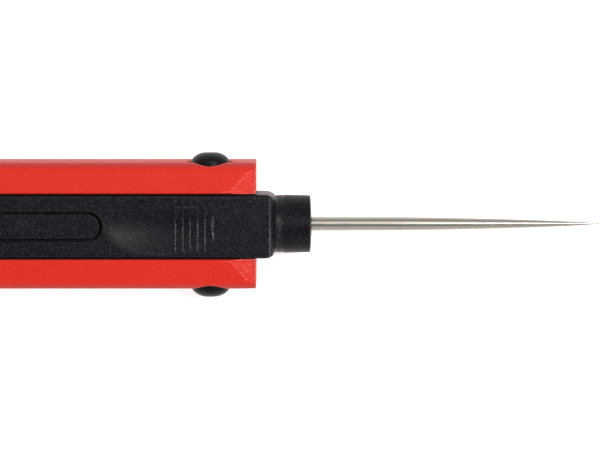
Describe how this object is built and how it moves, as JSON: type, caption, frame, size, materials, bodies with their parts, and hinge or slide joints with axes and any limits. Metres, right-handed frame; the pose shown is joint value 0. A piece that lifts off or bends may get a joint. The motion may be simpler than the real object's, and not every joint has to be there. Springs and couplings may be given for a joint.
{
  "type": "retractable scratch awl",
  "caption": "Pocket scratch awl: a tapered steel needle in a black thumb slider that draws back into a flat red channel handle, with a push-button release on each side.",
  "frame": {"origin": "middle of the flat back, under the centre of the whole tool's bounding box with the needle out", "axes": "+X along the needle towards its tip, +Y towards the left-hand button, +Z out of the thumb face"},
  "size_m": [0.1628, 0.0214, 0.0112],
  "materials": {
    "shell": "satin red moulded plastic with a very fine texture",
    "tail": "matt black moulded plastic with a fine spark texture",
    "slider": "matt black moulded plastic with a fine spark texture",
    "marker": "matt black moulded plastic",
    "collar": "satin black",
    "button": "satin black",
    "needle": "drawn and ground wire, satin",
    "spring": "bright spring steel",
    "screw": "blackened steel"
  },
  "bodies": {
    "housing": {"housing_front": "shell", "housing_back": "shell", "tail_cap": "tail", "housing_screws": "screw", "tail_screw": "screw", "left_button_spring": "spring", "right_button_spring": "spring"},
    "carriage": {"slider_top": "slider", "slider_base": "slider", "slider_screws": "screw", "marker_plate": "marker", "collar": "collar", "needle": "needle", "left_latch_spring": "spring", "right_latch_spring": "spring"},
    "left_push": {"left_button": "button"},
    "right_push": {"right_button": "button"}
  },
  "joints": [
    {"name": "carriage_slide", "type": "slide", "parent": "housing", "child": "carriage", "axis": [1, 0, 0], "range_m": [-0.052, 0], "deforming": ["left_latch_spring", "right_latch_spring"]},
    {"name": "left_button_press", "type": "slide", "parent": "housing", "child": "left_push", "axis": [0, -1, 0], "range_m": [0, 0.0008], "stiffness_N_per_m": 400, "springref_m": -0.0005, "deforming": ["left_button_spring", "left_latch_spring"]},
    {"name": "right_button_press", "type": "slide", "parent": "housing", "child": "right_push", "axis": [0, 1, 0], "range_m": [0, 0.0008], "stiffness_N_per_m": 400, "springref_m": -0.0005, "deforming": ["right_button_spring", "right_latch_spring"]}
  ]
}
